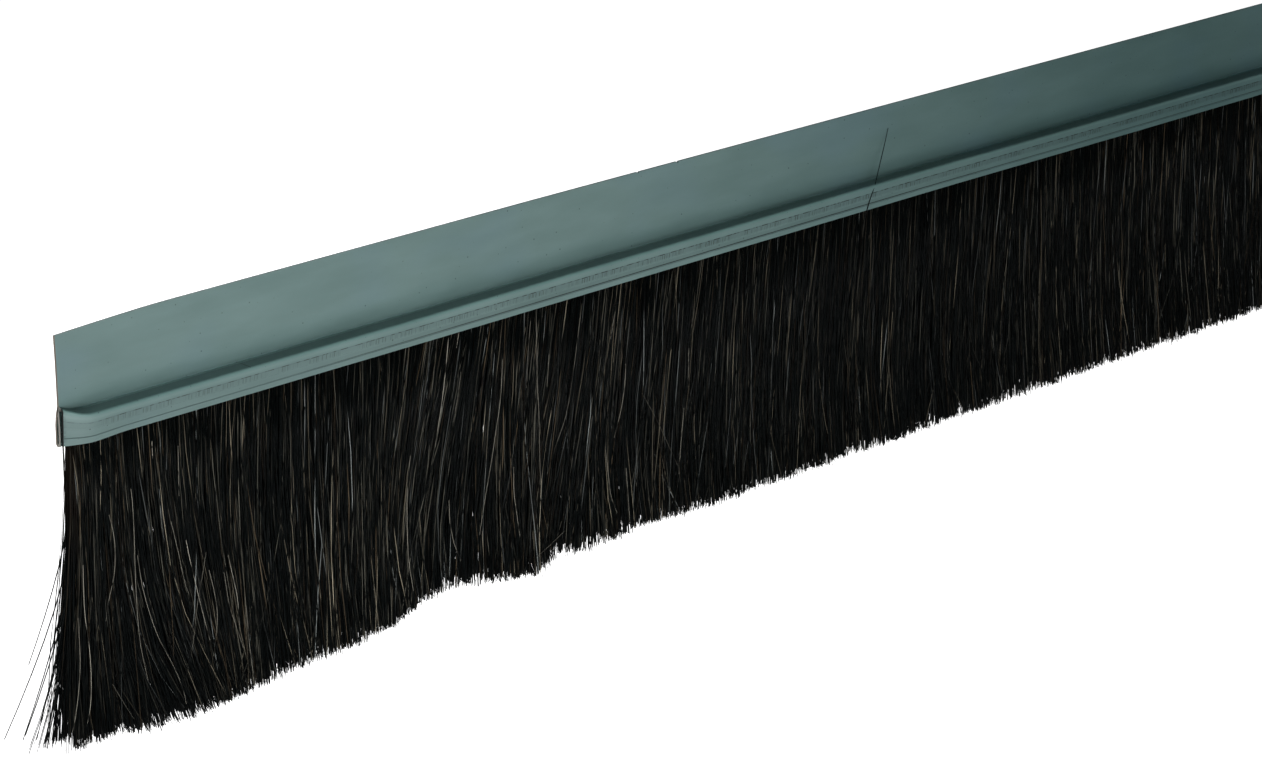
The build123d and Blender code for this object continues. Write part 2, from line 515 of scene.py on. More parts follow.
# lines of (distance from the near end in mm, value)
trimLine = [(0, 3.2), (9, 3.1), (13, 4.6), (28, 5.2), (42, 4.2), (54, 3.0), (68, 2.8), (82, 1.2), (91, -1.6)]
trimLine += [(100, -2.5), (112, -0.4), (124, 1.1), (131.5, -1.2), (135, -0.7), (142, 0.4)]
trimLine += [(150, -0.5), (157, -1.2), (165, -0.9), (176, -0.2), (300, 0.1)]
# lean along the strip for each mm of length, in the upper, middle and lower part of the hairs
leanLines = {
    0.15: [(0, -0.03), (6, 0.02), (12, 0.02), (25, -0.02), (45, -0.12), (62, -0.04), (80, -0.09), (100, -0.32),
           (115, -0.17), (130, -0.2), (146, -0.18), (190, -0.14), (300, -0.08), (370, -0.06), (430, 0)],
    0.50: [(0, -0.16), (6, -0.04), (10, 0.04), (22, 0.17), (34, 0.11), (48, 0.01), (65, -0.06), (78, -0.1),
           (88, -0.28), (98, -0.34), (108, -0.22), (117, -0.09), (123, -0.12), (130, -0.3), (138, -0.28),
           (147, -0.2), (190, -0.13), (260, -0.12), (300, -0.03), (430, -0.01)],
    0.85: [(0, 0), (6, 0), (12, 0.2), (22, 0.48), (32, 0.24), (42, 0.1), (60, 0), (72, 0.05), (88, -0.03),
           (100, -0.06), (112, 0), (120, -0.02), (130, -0.17), (140, -0.1), (148, 0.1), (160, 0.06),
           (190, -0.02), (240, 0.05), (300, 0.1), (370, 0.11), (430, 0)],
}


def leanAt(distance, t):
    shares = sorted(leanLines)
    values = [lineAt(leanLines[share], distance) for share in shares]
    upper = np.clip((t - shares[0]) / (shares[1] - shares[0]), 0, 1)
    lower = np.clip((t - shares[1]) / (shares[2] - shares[1]), 0, 1)
    return values[0] + (values[1] - values[0]) * upper + (values[2] - values[1]) * lower


def hairTemplate(segments):
    deselectAll()
    bpy.ops.mesh.primitive_cylinder_add(vertices=3, radius=1, depth=1, location=(0, 0, 0.5))
    piece = startPiece("hair_template")
    cutAt(piece, [k / segments for k in range(1, segments)], 2)
    points = getPoints(piece)
    faces = [tuple(p.vertices) for p in piece.data.polygons]
    bpy.data.objects.remove(piece, do_unlink=True)
    return points, faces


manyDraws = 4096  # more than there are tufts or shades along the strip
lockRng = np.random.default_rng(11)
lockCount = int(stripLength / hair["lockPitch"]) + 20
lockCentres = np.cumsum(lockRng.uniform(0.4, 1.6, lockCount)) * hair["lockPitch"] - 5 * mm
lockTrim = lockRng.uniform(-1, 1, lockCount)
lockOut = lockRng.uniform(-1, 1, lockCount)
lockLean = lockRng.uniform(-1, 1, lockCount)
lockShade = lockRng.uniform(0, 1, manyDraws)


def nearestLock(distance):
    upper = np.clip(np.searchsorted(lockCentres, distance), 1, lockCount - 1)
    closerBelow = distance - lockCentres[upper - 1] < lockCentres[upper] - distance
    return np.where(closerBelow, upper - 1, upper)


def rootAt(distance):
    # middle and half width of the fill at the mouth
    back = legFront - legShift(distance, 0) - shear["gapOpened"] * fadeOut(distance, shear["backReach"])
    front = wallInside + wallShift(distance, 0)
    return (back + front) / 2, np.maximum(0, (back - front) / 2 - hair["radius"])


def flare(t):
    # how far the fill has opened, down the length of its hairs
    return 0.4 * t + 0.6 * t ** 1.5


tuftRng = np.random.default_rng(23)
tuftTrim = tuftRng.uniform(-1, 1, manyDraws)


def hairPaths(rng, distance, depth, segments, wildness, shorter=0.0, pulled=1.0, follows=1.0):
    # centre line of every hair: (hair, station, xyz)
    h = hair
    count = len(distance)
    stations = np.linspace(0, 1, segments + 1)
    t = stations[None, :]
    lock = nearestLock(distance)
    toLock = lockCentres[lock] - distance
    own = lockLean[lock] * h["lockLean"] + rng.normal(0, h["ownLean"], count) * wildness
    share, most = h["crossing"]
    crossing = rng.uniform(0, 1, count) < share * wildness
    own = own + np.where(crossing, rng.normal(0, most, count), 0)
    turn = rng.normal(0, h["turn"], count) * wildness
    share, most = h["strongTurn"]
    strong = rng.uniform(0, 1, count) < share * wildness
    turn = turn + np.where(strong, rng.normal(0, most, count), 0)
    atEnd = distance < h["atEnd"]
    own = np.where(atEnd, np.maximum(own, h["leastLean"]), own)
    turn = np.where(atEnd, np.maximum(turn, h["leastTurn"]), turn)
    # each hair drifts along with the lean of the place that it has come to
    steps = segments * 3
    place = distance.copy()
    across = [place]
    for step in range(steps):
        share = (step + 0.5) / steps
        lean = follows * leanAt(np.maximum(place, 0), share) + own + turn * max(0, share - 0.3)
        place = place + lean * h["freeLength"] / steps
        across.append(place)
    x = np.stack(across[::3], axis=1)
    pull = h["lockPull"] * rng.uniform(0.2, 1.2, count) * pulled
    bow = rng.normal(0, h["bow"], count) * wildness
    wave = rng.normal(0, h["wave"], count) * wildness
    phase = rng.uniform(0, 2 * math.pi, count)
    x = x + (toLock * pull)[:, None] * t ** 1.5
    x = x + bow[:, None] * np.sin(math.pi * t)
    x = x + wave[:, None] * np.sin(phase[:, None] + 6 * t) * np.minimum(1, 4 * t)
    cling = (np.floor(x[:, -1] / h["tipPitch"]) + 0.5) * h["tipPitch"] - x[:, -1]
    x = x + (cling * h["tipPull"])[:, None] * t ** 5
    # the shears trimmed the tips along the strip, a tuft at a time
    tuft = (x[:, -1] / h["tuftPitch"] + depth * 5).astype(int) % len(tuftTrim)
    length = h["freeLength"] + lineAt(trimLine, x[:, -1]) * mm + tuftTrim[tuft] * h["tuftTrim"]
    length = length + lockTrim[lock] * h["lockTrim"] + rng.normal(0, h["ownTrim"], count) - shorter
    middle, half = rootAt(distance)
    spread = (h["tipSpread"] * depth)[:, None] * flare(t)
    weave = rng.normal(0, h["weave"], count)[:, None] * np.sin(phase[:, None] * 1.7 + 7 * t)
    weave = weave * np.minimum(1, 3 * t)
    bulk = (np.maximum(0, h["bulk"] - half) * depth)[:, None] * np.minimum(1, 6 * t)
    y = (middle + half * depth)[:, None] + bulk + spread + weave
    y = y + (lockOut[lock] * h["lockOut"] * np.sign(depth))[:, None] * t
    z = mouthZ + h["inside"] - (length + h["inside"])[:, None] * t
    # inside the channel the hairs keep to its walls
    y[:, 0] = middle + half * depth
    x[:, 0] = distance
    return np.stack([x + nearEnd, y, z], axis=2)


def buildHairs(name, paths, radii, tone, taper=hair["taper"]):
    # copies the modelled hair along each path
    count, stations = paths.shape[0], paths.shape[1]
    points, faces = hairTemplate(stations - 1)
    ring = np.rint(points[:, 2] * (stations - 1)).astype(int)
    vertices = paths[:, ring, :].copy()
    turn = np.random.default_rng(len(name)).uniform(0, 2 * math.pi, count)
    cos, sin = np.cos(turn)[:, None], np.sin(turn)[:, None]
    size = radii[:, None] * (1 - taper * points[None, :, 2] ** 2)
    vertices[:, :, 0] += size * (points[None, :, 0] * cos - points[None, :, 1] * sin)
    vertices[:, :, 1] += size * (points[None, :, 0] * sin + points[None, :, 1] * cos)
    perHair = len(points)
    sizes = np.array([len(f) for f in faces])
    corners = np.array([i for f in faces for i in f])
    allCorners = (corners[None, :] + perHair * np.arange(count)[:, None]).ravel()
    starts = np.concatenate([[0], np.cumsum(np.tile(sizes, count))[:-1]])
    mesh = bpy.data.meshes.new(name)
    mesh.vertices.add(count * perHair)
    mesh.vertices.foreach_set("co", vertices.astype(np.float32).ravel())
    mesh.loops.add(len(allCorners))
    mesh.loops.foreach_set("vertex_index", allCorners.astype(np.int32))
    mesh.polygons.add(len(faces) * count)
    mesh.polygons.foreach_set("loop_start", starts.astype(np.int32))
    mesh.polygons.foreach_set("use_smooth", np.ones(len(faces) * count, bool))
    for label, values in (("hairTone", np.repeat(tone, perHair)), ("hairAlong", np.tile(points[:, 2], count))):
        attribute = mesh.attributes.new(label, "FLOAT", "POINT")
        attribute.data.foreach_set("value", values.astype(np.float32))
    mesh.update(calc_edges=True)
    mesh.validate()
    piece = bpy.data.objects.new(name, mesh)
    bpy.context.scene.collection.objects.link(piece)
    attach(piece, "root")
    return piece


# each group: how many hairs a millimetre, which part of the depth they fill, how thick and how wild, their
# look, and in how many pieces they are made
hairGroups = [
    {"name": "hairs_inner", "perMm": 12, "depth": (0, 0.75), "segments": 2, "look": "inner", "wild": 0.3,
     "thick": 2.4, "shorter": 0.9 * mm, "pulled": 0.2, "follows": 0.6},
    {"name": "hairs_front", "perMm": 14, "depth": (-1.05, -0.55), "segments": 4, "look": "black", "wild": 1.0,
     "parts": 2},
    {"name": "hairs_back", "perMm": 9, "depth": (0.55, 1.05), "segments": 3, "look": "black", "wild": 1.0},
    {"name": "hairs_brown", "perMm": 2.6, "depth": (0.6, 1.05), "segments": 4, "look": "brown", "wild": 1.2},
    {"name": "hairs_tan", "perMm": 1.2, "depth": (0.75, 1.1), "segments": 6, "look": "tan", "wild": 1.5,
     "thick": 0.85},
    {"name": "hairs_grey", "perMm": 1.0, "depth": (0.75, 1.1), "segments": 6, "look": "grey", "wild": 1.5,
     "thick": 0.85},
]
hairPieces = {}


def makeHairGroup(group, seed):
    rng = np.random.default_rng(seed)
    count = int(group["perMm"] * stripLength / mm)
    distance = (np.arange(count) + rng.uniform(0, 1, count)) / count * stripLength
    squeezed = hair["firstRoot"] + distance * (1 - hair["firstRoot"] / hair["squeezed"])
    distance = np.where(distance < hair["squeezed"], squeezed, distance)
    # the hairs fan out from the end, so it holds more of them
    extra = rng.uniform(0, 1, int(group["perMm"] * hair["endHairs"])) ** 1.2 * hair["endReach"]
    distance = np.concatenate([distance, hair["firstRoot"] + extra])
    count = len(distance)
    low, high = group["depth"]
    depth = rng.uniform(low, high, count)
    if low >= 0 and group["name"] != "hairs_back":
        # half of them are at the front
        depth = depth * np.where(rng.uniform(0, 1, count) < 0.5, -1, 1)
    paths = hairPaths(rng, distance, depth, group["segments"], group["wild"], group.get("shorter", 0.0),
                      group.get("pulled", 1.0), group.get("follows", 1.0))
    radii = hair["radius"] * group.get("thick", 1.0) * rng.uniform(0.7, 1.15, count)
    # some small locks are lighter and some darker
    shade = lockShade[(distance / hair["shadePitch"]).astype(int)]
    power = np.where(shade > hair["lightShade"], 0.4, np.where(shade < hair["darkShade"], 1.6, 1.0))
    tone = rng.uniform(0, 1, count) ** power
    parts = group.get("parts", 1)
    for part in range(parts):
        share = (stripLength + 1 * mm) / parts
        chosen = (distance >= part * share) & (distance < (part + 1) * share)
        name = group["name"] + ("_" + "ab"[part] if parts > 1 else "")
        piece = buildHairs(name, paths[chosen], radii[chosen], tone[chosen])
        hairPieces.setdefault(group["look"], []).append(piece)
        if name == "hairs_inner":
            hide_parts("bristles")
        print(name, chosen.sum(), "hairs")


for number, group in enumerate(hairGroups):
    makeHairGroup(group, 100 + number)

# Strays: single hairs that stand away from the fill
strays = {
    "segments": 10,
    "thickness": 1.15,
    "singleThickness": 2.0,
    "caughtThickness": 1.6,
    "taper": 0.4,
    # single hairs that curve out past the near end: place of the tip and length in mm, and from where down
    # their length they leave the fill
    "single": [
        (-9.9, 42.2, 0.42),
        (-16.6, 55.7, 0.42),
        (-12.6, 57.0, 0.45),
        (-12.2, 56.0, 0.5),
        (-9.8, 57.5, 0.45),
    ],
    "singleAside": (-0.8, 0.8),
    # tufts that splay out near the tips: place of the tip, in mm, and number of hairs
    "tufts": [(-10.6, 4), (-9.4, 4), (-8.2, 5), (-7.0, 6), (-5.8, 7), (-4.8, 8), (-3.8, 8), (-2.8, 8)],
    "splayStart": (0.48, 0.6),
    "splayAside": (-1.2, 1.6),
    "splayPower": (1.3, 1.7),
    "splayRoot": (0, 0.8),
    "splayTrim": (0, 2.2),
    # hairs that hang beside the fill: place of the root, in mm
    "beside": [0.3, 0.5, 1.0],
    "besideDrift": (2.0, 2.8),
    "besideWave": (0.3, 0.6),
    "besideAside": (-0.4, 0.4),
    "besideLength": (55, 60),
}
# the hair that lies across the front wall and the fin: along the strip, Y, and above the mouth, in mm
caughtHair = [(234.1, -3.3, -6.0), (234.4, -3.9, -1.5), (234.8, -4.25, 0.1), (235.7, -4.72, 3.6)]
caughtHair += [(236.5, -4.9, 5.2), (240.4, -3.2, 9.8), (243.6, -1.85, 13.8), (246.3, -0.62, 17.2)]


def makeStrays():
    c = strays
    rng = np.random.default_rng(5)
    t = np.linspace(0, 1, c["segments"] + 1)
    middle = rootAt(np.zeros(1))[0]
    paths = []
    first = hair["firstRoot"] / mm

    def hang(x, y, length):
        z = mouthZ + hair["inside"] * (1 - t) - length * t
        paths.append(np.stack([x, y, z], axis=1))

    for tip, length, start in c["single"]:
        away = np.maximum(0, (t - start) / (1 - start)) ** 1.35
        x = nearEnd + (first + 0.4 - 3.0 * t + (tip - first + 2.6) * away) * mm
        hang(x, middle[0] + rng.uniform(*c["singleAside"]) * mm * t, length * mm)
    for root in c["beside"]:
        drift = root - rng.uniform(*c["besideDrift"]) * t
        x = nearEnd + (drift + rng.uniform(*c["besideWave"]) * np.sin(5 * t)) * mm
        y = middle[0] + rng.uniform(*c["besideAside"]) * mm * t
        hang(x, y, rng.uniform(*c["besideLength"]) * mm)
    for tip, number in c["tufts"]:
        start = rng.uniform(*c["splayStart"])
        side = rng.uniform(*c["splayAside"]) * mm
        for _ in range(number):
            own = rng.normal(0, 0.5)
            away = np.maximum(0, (t - start) / (1 - start)) ** rng.uniform(*c["splayPower"])
            root = first + rng.uniform(*c["splayRoot"])
            x = nearEnd + (root - 3.4 * t + (tip - root + 3.4 + own) * away) * mm
            y = middle[0] + side * t + rng.normal(0, 0.35) * mm * t
            length = hair["freeLength"] + lineAt(trimLine, 0) * mm
            hang(x, y, length - rng.uniform(*c["splayTrim"]) * mm)
    corners = np.array(caughtHair)
    run = np.linspace(0, len(corners) - 1, len(t))
    caught = np.stack([np.interp(run, range(len(corners)), corners[:, k]) for k in range(3)], axis=1) * mm
    paths.append(caught + np.array([nearEnd, 0, mouthZ]))
    paths = np.array(paths)
    radii = np.full(len(paths), hair["radius"] * c["thickness"])
    radii[:len(c["single"])] = hair["radius"] * c["singleThickness"]
    radii[-1] = hair["radius"] * c["caughtThickness"]
    piece = buildHairs("hairs_stray", paths, radii, rng.uniform(0, 0.5, len(paths)), c["taper"])
    hairPieces.setdefault("black", []).append(piece)
    print("strays:", len(paths))


makeStrays()

# Pale hairs that stand out on the front: brightness, and the path down in pixels of the camera's frame
paleHairs = [
    (1.0, [(83, 565), (84, 615), (89, 640), (91.5, 677), (91, 706), (87.5, 723)]),
    (0.8, [(78, 618), (80.5, 659), (79, 690), (75, 721), (72.5, 732)]),
    (0.9, [(137.5, 555), (142, 587), (150, 615), (159, 640), (172, 662), (183, 687), (186.5, 704)]),
    (0.7, [(131, 489), (133, 505), (134.5, 540), (135.5, 585), (137.5, 615), (139.5, 642), (144, 662),
           (148, 680)]),
    (1.0, [(186, 540), (190, 560), (196, 585), (202.5, 612), (210, 640)]),
    (0.7, [(171, 521), (175, 538), (179, 555), (184, 580), (189, 595)]),
    (0.8, [(109, 515), (114, 534), (115.5, 552), (114.5, 577), (108, 602), (106, 621)]),
    (1.0, [(152, 441), (152.5, 458)]),
    (0.9, [(178, 446), (178.5, 470), (179, 496)]),
    (0.8, [(228, 555), (233, 577), (237.5, 597), (239.5, 625)]),
    (0.5, [(224, 572), (229, 605), (237.5, 630), (246, 655)]),
    (0.5, [(246, 605), (249, 642), (254, 680)]),
    (0.6, [(209, 570), (214, 590), (217.5, 610), (217, 630), (213.5, 656)]),
    (0.5, [(206, 552), (202.5, 575), (197.5, 602), (194, 637), (191, 657)]),
    (0.3, [(112.5, 684), (122, 700), (134, 719)]),
    (1.0, [(448.5, 337), (446, 366), (442.5, 398), (435, 447)]),
    (0.9, [(459, 332), (456.5, 348)]),
    (0.8, [(461, 372), (458, 396), (453, 422)]),
    (0.7, [(536, 312), (537, 346), (537, 380), (539, 411), (539.5, 445), (540.5, 485)]),
    (0.5, [(531, 315), (528, 352), (526.5, 388)]),
    (0.7, [(502.5, 359), (501, 399), (496, 429), (491.5, 462), (486, 492), (479.5, 535)]),
    (0.6, [(582, 303), (577.5, 339), (571.5, 387), (565.5, 420), (556, 444), (547, 474)]),
    (0.7, [(549, 354), (547, 387)]),
    (0.9, [(615, 312), (610.5, 339)]),
    (0.8, [(625.8, 364), (625, 384), (621, 411), (614, 438)]),
    (0.9, [(513.7, 467), (513.7, 492), (517, 516), (520, 537)]),
    (0.6, [(449, 500), (449.5, 522), (454, 544), (461, 561)]),
    (0.7, [(410.5, 456), (407, 480), (407, 528), (408.5, 562), (413.5, 591)]),
    (0.9, [(605.5, 450), (607.5, 468), (610.5, 495), (617, 513)]),
    (0.35, [(642, 393), (656, 418), (667, 442), (678, 466)]),
    (0.8, [(684, 408), (681, 441), (679, 474)]),
    (0.6, [(688.8, 348), (688, 387)]),
    (0.6, [(626, 468), (628, 496), (631, 538)]),
    (0.45, [(564.5, 531), (550, 545), (536, 558)]),
]
paleShape = {
    "segments": 12,
    "thickness": 0.72,
    "taper": 0.4,
    "proud": 0.6 * mm,  # in front of the fill, low down
}


def onFill(pixels):
    # the places on the front of the fill that the camera sees at these pixels
    width, height = camera["frame"]
    across = (pixels[:, :1] - width / 2) / camera["focalPixels"]
    down = (pixels[:, 1:] - height / 2) / camera["focalPixels"]
    ray = cameraForward + cameraRight * across - cameraUp * down
    y = np.full(len(pixels), channelFront)
    for _ in range(6):
        places = cameraPlace + ray * ((y - cameraPlace[1]) / ray[:, 1])[:, None]
        t = np.clip((mouthZ - places[:, 2]) / hair["freeLength"], 0, 1.1)
        middle, half = rootAt(np.maximum(0, places[:, 0] - nearEnd))
        spread = hair["tipSpread"] * flare(t)
        y = middle - np.maximum(half, hair["bulk"]) - spread * 1.1 - paleShape["proud"] * np.minimum(1, 6 * t)
    return places


def makePaleHairs():
    c = paleShape
    rng = np.random.default_rng(41)
    paths = []
    for tone, pixels in paleHairs:
        pixels = np.array(pixels, float)
        run = np.linspace(0, len(pixels) - 1, c["segments"] + 1)
        smooth = np.stack([np.interp(run, range(len(pixels)), pixels[:, k]) for k in range(2)], axis=1)
        smooth[1:-1] = (smooth[:-2] + 2 * smooth[1:-1] + smooth[2:]) / 4
        paths.append(onFill(smooth))
    paths = np.array(paths)
    radii = hair["radius"] * c["thickness"] * rng.uniform(0.85, 1.15, len(paths))
    tones = np.array([tone for tone, pixels in paleHairs])
    piece = buildHairs("hairs_pale", paths, radii, tones, c["taper"])
    hairPieces.setdefault("pale", []).append(piece)
    print("pale hairs:", len(paths))


makePaleHairs()

# The fold of the hairs over the core wire, which only shows at the far end
fold = {
    "reach": 3.0 * mm,
    "hairs": 420,
    "segments": 8,
    "wireRadius": 0.6 * mm,
    "topGap": 0.12 * mm,
}


def makeFold():
    c = fold
    rng = np.random.default_rng(31)
    wireLow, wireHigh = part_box("core_wire")
    wireY, wireZ = (wireLow.y + wireHigh.y) / 2, (wireLow.z + wireHigh.z) / 2
    most = creaseZ - carrier["sheet"] - c["topGap"] - wireZ
    radius = rng.uniform(c["wireRadius"] + hair["radius"], most - hair["radius"], c["hairs"])
    place = nearEnd + stripLength - rng.uniform(0, 1, c["hairs"]) * c["reach"]
    low = mouthZ + hair["inside"] - wireZ
    turn = np.linspace(0, 1, c["segments"] - 1)[None, :] * math.pi
    y = np.cos(turn) * radius[:, None]
    z = np.sin(turn) * radius[:, None]
    foot = low * np.ones((c["hairs"], 1))
    y = np.concatenate([y[:, :1], y, y[:, -1:]], axis=1) + wireY
    z = np.concatenate([foot, z, foot], axis=1) + wireZ
    x = place[:, None] + rng.normal(0, 0.1, (c["hairs"], 1)) * mm * np.linspace(-1, 1, y.shape[1])[None, :]
    x = np.minimum(x, nearEnd + stripLength)
    paths = np.stack([x, y, z], axis=2)
    radii = np.full(c["hairs"], hair["radius"])
    piece = buildHairs("hairs_fold", paths, radii, rng.uniform(0, 1, c["hairs"]), 0.0)
    hairPieces.setdefault("black", []).append(piece)
    print("fold:", c["hairs"], "hairs")


makeFold()

# Materials
steelLook = {
    "colour": linear(112, 136, 134),
    "cloud": linear(103, 127, 125),
    "blue": linear(108, 133, 139),
    "speck": linear(52, 68, 66),
    "wall": 0.84,  # the front wall is darker below its lip
    "farWall": 0.98,  # less so further along
    "bridge": (0.81, 0.94, 0.92),  # painted shade on the bridge, which faces up away from the lamps, a little teal
    "crease": 1.1,  # painted light: the sheet is made lighter along the crease, against the shade in its fold
    "grooveLift": 1.05,  # painted light: and along the back of the bridge, against the shade in the corner by the fin
    "far": (0.59, 0.71, 0.72),  # painted shade: darker further along, where less light falls
    # the cut edges are bare steel, painted lighter as a highlight on the inner leg and near black as shade on
    # the front wall
    "bare": linear(138, 128, 118),
    "litBare": linear(160, 159, 152),
    "shadedBare": linear(28, 32, 32),
    "grime": 0.4,  # in the first 0.7 mm of the front wall
    "tuckShade": 0.36,  # painted shade: the foot of the fin is darker near the cut
    "cornerShadeTint": (0.07, 0, 0),  # the painted shade near the crease is less red
    "rough": 0.45,
    "specular": 0.35,
}
# marks of the rollers on the front wall: from, to and soft edge, in mm below the crease
wallMarks = {
    "upper": (1.97, 2.23, 0.1),
    "lower": (3.28, 3.42, 0.1),
    "ladder": (2.0, 3.3, 0.2),
    "comb": (2.1, 3.35, 0.25),
    "score": (4.6, 4.88, 0.12),
    "second": (5.35, 5.42, 0.12),
    "lowWall": (3.4, 5.05, 0.3),
}
scoreRise = 0.25  # mm that the score line stands higher from 100 mm on
endCreases = [(1.5, 1.6, 0.15), (2.9, 3.02, 0.15), (4.1, 4.18, 0.15)]  # painted shade along the creases of the squashed end


def wallPattern(s, below, fromEnd):
    # how dark the marks on the front wall are: two dotted rows, fine ticks between them, and the score line.
    # Their darkness is painted shade in the rolled recesses and along the creases of the squashed end,
    # together with dirt in them
    dots = s.noiseAlong(fromEnd * 0.9, 1.0).rise(0.44, 10)
    ticks = s.noiseAlong(fromEnd * 2.7 + 40, 0.0).rise(0.52, 12)
    dashes = s.noiseAlong(fromEnd * 0.5 + 7, 1.5).rise(0.46, 12)
    pastPinch = fromEnd.rise(5.0, 1 / 7)
    strength = s.noiseAlong(fromEnd * 0.13 + 90, 1.0).rise(0.34, 4) * pastPinch
    at = {name: below.between(*span) for name, span in wallMarks.items() if name != "score"}
    score = (below + fromEnd.rise(20, 1 / 80) * scoreRise).between(*wallMarks["score"])
    rows = at["upper"] * (0.2 + dashes * 0.42) + at["lower"] * (0.12 + dots * 0.3)
    rows = (rows + at["comb"] * ticks * strength * 0.28) * (pastPinch * 0.6 + 0.4)
    # the marks are darker further along the strip
    fartherOn = fromEnd.rise(60, 1 / 120)
    marks = rows * (1 + fartherOn * 0.6) + at["ladder"] * (0.05 + fartherOn * 0.13)
    marks = marks + score * (0.32 + fartherOn * 0.5) + at["second"] * 0.06
    creases = sum((below.between(*span) for span in endCreases[1:]), below.between(*endCreases[0]))
    marks = marks + creases * fromEnd.rise(11, -1 / 6) * 0.42
    # midway the wall is darker low down, and the score line is darker
    midway = fromEnd.rise(45, 1 / 60) * fromEnd.rise(300, -1 / 60)
    return marks + (at["lowWall"] + score) * midway * 0.16, fartherOn


def carrierMaterial():
    look = steelLook
    s = Shader("carrier_steel")
    coordinates, (x, y, z) = s.place()
    below, onFront = s.attribute("belowCrease"), s.attribute("frontFace")
    fromEnd, layer = s.attribute("fromEnd"), s.attribute("layer")
    outer = layer.rise(1, 1)
    cloudy = s.noise(coordinates, (50, 160, 220), 4)
    fine = s.noise(coordinates, (900, 3000, 2400), 2)
    patches = s.noise(coordinates, (35, 35, 70), 1)
    flat = s.node("CombineXYZ", None, X=x, Y=z)
    cells = s.node("TexVoronoi", {"voronoi_dimensions": "2D"}, Vector=flat, Scale=260.0)
    lot = Sock(s.tree, cells.socket.node.outputs["Color"])
    speck = (((lot - 0.35) * 0.11 - cells) * 40).clamped()
    colour = s.mix(cloudy.rise(0.33, 2.6), look["cloud"], look["colour"])
    colour = s.mix(patches.rise(0.5, 5) * (1 - onFront * 0.7) * 0.45, colour, look["blue"])
    colour = s.mix(speck * 0.7, colour, look["speck"])
    marks, fartherOn = wallPattern(s, below, fromEnd)
    wall = below.rise(1.3, 1.4) * onFront
    kept = fartherOn * (look["farWall"] - look["wall"]) + look["wall"]
    # painted shade on the bridge, the top of the channel, which faces up away from the lamps
    bridge = outer * below.rise(1.1, -2.5)
    aboveCrease = below.rise(0.125, -8)
    # painted shade on the foot of the fin, darker towards the crease, where the channel shades it
    corner = below.rise(-5.5, 1 / 5.5) * (1 - outer) * aboveCrease
    # this factor gathers the painted shade and light below, together with the roller marks and the grime
    shadeAndDirt = (1 - wall * (1 - kept) - onFront * marks) * (1 - corner * 0.06 - corner * corner * 0.05)
    grime = fromEnd.rise(0.7, -1 / 0.7) * fine.rise(0.35, 3)
    shadeAndDirt = shadeAndDirt * (1 - onFront * grime * look["grime"])
    # painted light along the crease, which lifts the shade that falls in the fold
    bend = below.between(-0.22, 0.05, 0.3) * (1 - onFront)
    shadeAndDirt = shadeAndDirt * (1 + bend * look["crease"])
    # painted light along the back of the bridge, where the corner by the fin is shaded
    grooveLift = below.between(-0.08, 0.5, 0.12) * (y / mm).rise(-1.5, 3) * (1 - onFront)
    shadeAndDirt = shadeAndDirt * (1 + grooveLift * look["grooveLift"])
    # painted shade at the foot of the fin near the cut
    tuckShade = fromEnd.rise(9, -1 / 8) * below.rise(-1.8, 1 / 1.8) * aboveCrease
    shadeAndDirt = shadeAndDirt * (1 - tuckShade * look["tuckShade"])
    # painted shade further along the strip, where less of the lamps' light falls
    farShade = fromEnd.rise(150, 1 / 210) * (1 - bridge * 0.8)
    shades = [shadeAndDirt * (1 - bridge * (1 - own)) * (1 - farShade * (1 - far)) * (1 - corner * tint)
              for own, far, tint in zip(look["bridge"], look["far"], look["cornerShadeTint"])]
    shade = s.node("CombineXYZ", None, X=shades[0], Y=shades[1], Z=shades[2])
    colour = s.node("MixRGB", {"blend_type": "MULTIPLY"}, Fac=1.0, Color1=colour, Color2=shade)
    # the shear bared the cut edges
    # painted highlight on the inner leg's cut edge and painted shade on the front wall's
    bare = s.mix(layer.clamped(), look["bare"], look["litBare"])
    bare = s.mix(outer, bare, look["shadedBare"])
    colour = s.mix(fromEnd.rise(0.03, -60), colour, bare)
    height = cloudy * 0.6 + fine * 0.15 - onFront * marks * 0.8
    bump = s.node("Bump", None, Height=height, Strength=0.12, Distance=0.0002)
    rough = look["rough"] + fine * 0.06 + wall * 0.1
    surface = s.node("BsdfPrincipled", None, Base_Color=colour, Roughness=rough, Normal=bump,
                     Specular_IOR_Level=look["specular"])
    return s.finish(surface)


